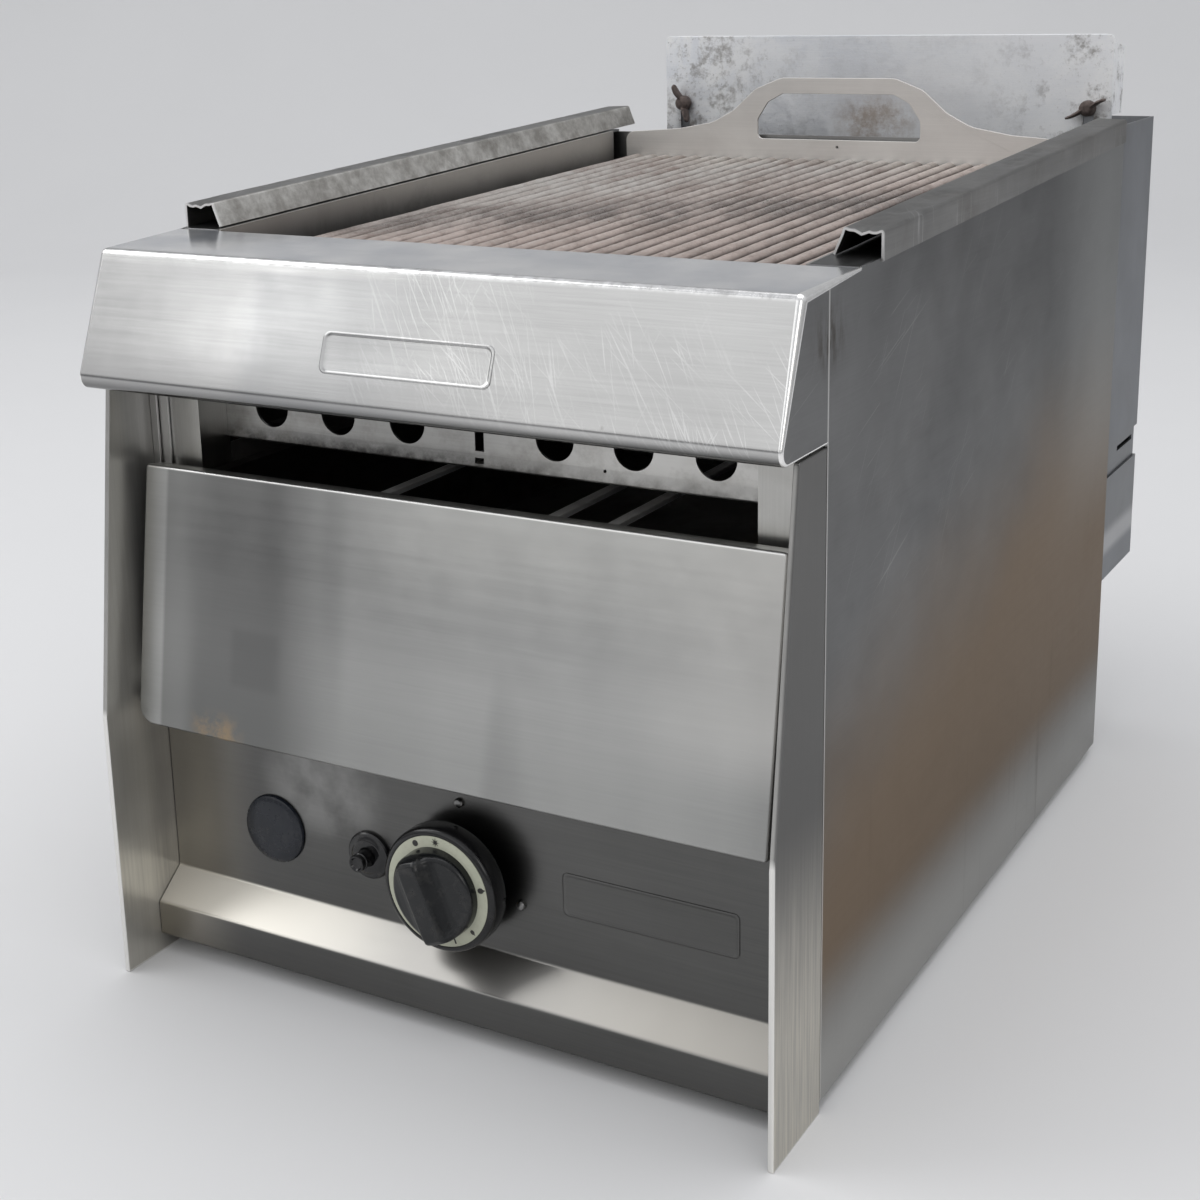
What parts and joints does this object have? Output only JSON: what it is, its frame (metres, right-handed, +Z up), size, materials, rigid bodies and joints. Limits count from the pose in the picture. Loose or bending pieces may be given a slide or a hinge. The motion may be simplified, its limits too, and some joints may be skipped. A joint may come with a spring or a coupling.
{
  "type": "charbroiler grill",
  "caption": "Bench-top gas chargrill with a ribbed lift-out grate, pull-out water drawer, push-and-turn gas knob, piezo button, rear flue casing and splash back.",
  "frame": {"origin": "middle of the footprint, at the level of the surface it stands on", "axes": "+Z up, +X to the right of the cook who faces the knob, -Y is the front"},
  "size_m": [0.4024, 0.656, 0.493],
  "materials": {
    "casing_steel": "worn brushed stainless",
    "drawer_steel": "satin stainless",
    "frame_steel": "plain stainless",
    "flue_steel": "dull stainless",
    "sooty_steel": "sooted stainless",
    "burner_steel": "heat-tinted stainless",
    "tray_steel": "greasy stainless",
    "grate_steel": "greasy, heat-browned stainless",
    "handle_steel": "heat-dulled stainless",
    "splash_steel": "spotted, oxidised stainless",
    "brass": "machined",
    "copper": "drawn copper tube",
    "igniter_plastic": "black phenolic",
    "lead_rubber": "silicone sleeve",
    "ceramic": "glazed ceramic",
    "plug_plastic": "black moulded",
    "knob_plastic": "black phenolic, cream scale ring",
    "plain_steel": "zinc plated",
    "foot_steel": "zinc plated",
    "rusty_iron": "rusty"
  },
  "bodies": {
    "chassis": {"side_panel_left": "casing_steel", "side_panel_right": "casing_steel", "cheek_left": "casing_steel", "cheek_right": "casing_steel", "front_hood": "casing_steel", "control_panel": "casing_steel", "bottom_pan": "frame_steel", "rear_panel": "frame_steel", "rear_top_strip": "frame_steel", "jamb_left": "frame_steel", "jamb_right": "frame_steel", "front_baffle": "frame_steel", "liner_left": "sooty_steel", "liner_right": "sooty_steel", "firebox_rear": "sooty_steel", "bay_side_left": "sooty_steel", "bay_side_right": "sooty_steel", "bay_floor": "sooty_steel", "drawer_runners": "frame_steel", "rail_left": "casing_steel", "rail_right": "casing_steel", "flue_upper": "flue_steel", "flue_lower": "flue_steel", "flue_joint_band": "flue_steel", "flue_front_strip": "frame_steel", "burner_left": "burner_steel", "burner_right": "burner_steel", "burner_supports": "burner_steel", "radiant_left": "burner_steel", "radiant_right": "burner_steel", "gas_manifold": "brass", "gas_feed_pipe": "copper", "gas_inlet_pipe": "copper", "gas_inlet_fitting": "brass", "gas_injectors": "brass", "gas_valve_body": "brass", "pilot_burner": "copper", "thermocouple": "copper", "piezo_igniter": "igniter_plastic", "ignition_lead": "lead_rubber", "spark_electrode": "ceramic", "blanking_plug": "plug_plastic", "panel_pins": "plain_steel", "foot_nuts": "plain_steel"},
    "water_drawer": {"drawer_front": "drawer_steel", "water_tray": "tray_steel", "tray_tie_bars": "tray_steel"},
    "grate": {"grate_rack": "grate_steel", "handle_plate": "handle_steel"},
    "splash": {"splash_back": "splash_steel"},
    "wing_left": {"wing_screw_left": "rusty_iron"},
    "wing_right": {"wing_screw_right": "rusty_iron"},
    "stem_carrier": {"thrust_collar": "plain_steel"},
    "knob": {"gas_knob": "knob_plastic", "valve_stem": "brass"},
    "igniter_push": {"igniter_button": "igniter_plastic"},
    "foot_fl": {"foot_front_left": "foot_steel"},
    "foot_fr": {"foot_front_right": "foot_steel"},
    "foot_rl": {"foot_rear_left": "foot_steel"},
    "foot_rr": {"foot_rear_right": "foot_steel"}
  },
  "joints": [
    {"name": "drawer_slide", "type": "slide", "parent": "chassis", "child": "water_drawer", "axis": [0, -1, 0], "range_m": [0, 0.3]},
    {"name": "grate_lift", "type": "slide", "parent": "chassis", "child": "grate", "axis": [0, 0, 1], "range_m": [0, 0.12]},
    {"name": "splash_lift", "type": "slide", "parent": "chassis", "child": "splash", "axis": [0, 0, 1], "range_m": [0, 0.06]},
    {"name": "wing_left_turn", "type": "hinge", "parent": "chassis", "child": "wing_left", "pos_m": [-0.156, 0.296, 0.443], "axis": [0, -1, 0], "range_deg": [0, 360]},
    {"name": "wing_right_turn", "type": "hinge", "parent": "chassis", "child": "wing_right", "pos_m": [0.156, 0.296, 0.443], "axis": [0, -1, 0], "range_deg": [0, 360]},
    {"name": "knob_press", "type": "slide", "parent": "chassis", "child": "stem_carrier", "axis": [0, 1, 0], "range_m": [0, 0.003], "stiffness_N_per_m": 1500, "springref_m": -0.003},
    {"name": "knob_turn", "type": "hinge", "parent": "stem_carrier", "child": "knob", "pos_m": [0, -0.3, 0.0855], "axis": [0, -1, 0], "range_deg": [-27, 131]},
    {"name": "igniter_press", "type": "slide", "parent": "chassis", "child": "igniter_push", "axis": [0, 1, 0], "range_m": [0, 0.006], "stiffness_N_per_m": 1500, "springref_m": -0.002},
    {"name": "foot_fl_turn", "type": "hinge", "parent": "chassis", "child": "foot_fl", "pos_m": [-0.158, -0.24, 0.02], "axis": [0, 0, 1], "range_deg": [-180, 180]},
    {"name": "foot_fr_turn", "type": "hinge", "parent": "chassis", "child": "foot_fr", "pos_m": [0.158, -0.24, 0.02], "axis": [0, 0, 1], "range_deg": [-180, 180]},
    {"name": "foot_rl_turn", "type": "hinge", "parent": "chassis", "child": "foot_rl", "pos_m": [-0.158, 0.19, 0.02], "axis": [0, 0, 1], "range_deg": [-180, 180]},
    {"name": "foot_rr_turn", "type": "hinge", "parent": "chassis", "child": "foot_rr", "pos_m": [0.158, 0.19, 0.02], "axis": [0, 0, 1], "range_deg": [-180, 180]}
  ]
}
